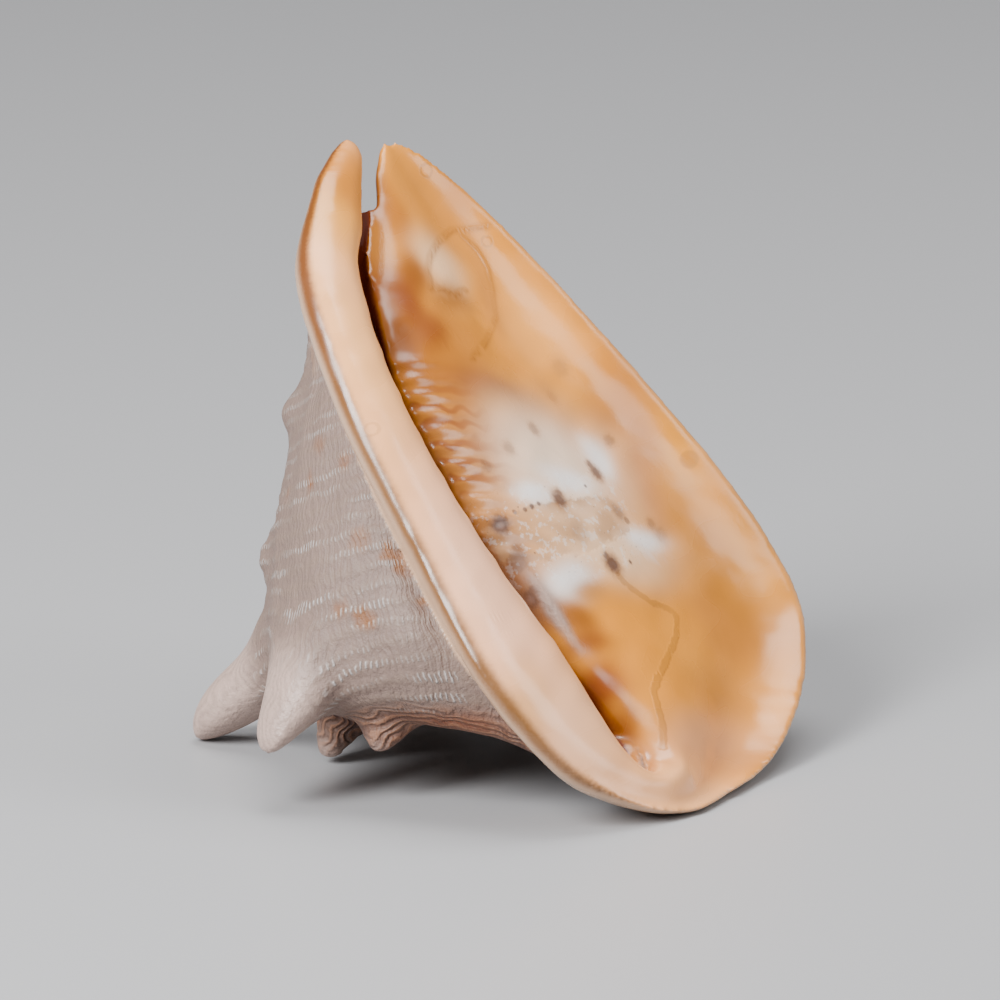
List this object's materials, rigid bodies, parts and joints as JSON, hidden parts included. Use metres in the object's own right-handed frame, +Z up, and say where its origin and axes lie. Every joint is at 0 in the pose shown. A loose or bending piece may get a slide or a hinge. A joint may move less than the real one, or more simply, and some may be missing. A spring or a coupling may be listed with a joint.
{
  "type": "horned helmet shell",
  "caption": "Large sea-snail shell in one piece, with horns on its shoulder, a thick glazed lip and shield round a long curved slit, and a hollow behind the slit.",
  "frame": {"origin": "centre of the bounding box in plan, at the height of the floor it rests on", "axes": "+Z up as it stands, +X to the right and +Y away as seen in the picture"},
  "size_m": [0.1605, 0.1368, 0.1558],
  "materials": {
    "shell_glaze": "natural shell glaze, glossy on the face and dull on the back"
  },
  "bodies": {
    "root": {"helmet_shell": "shell_glaze"}
  },
  "joints": []
}
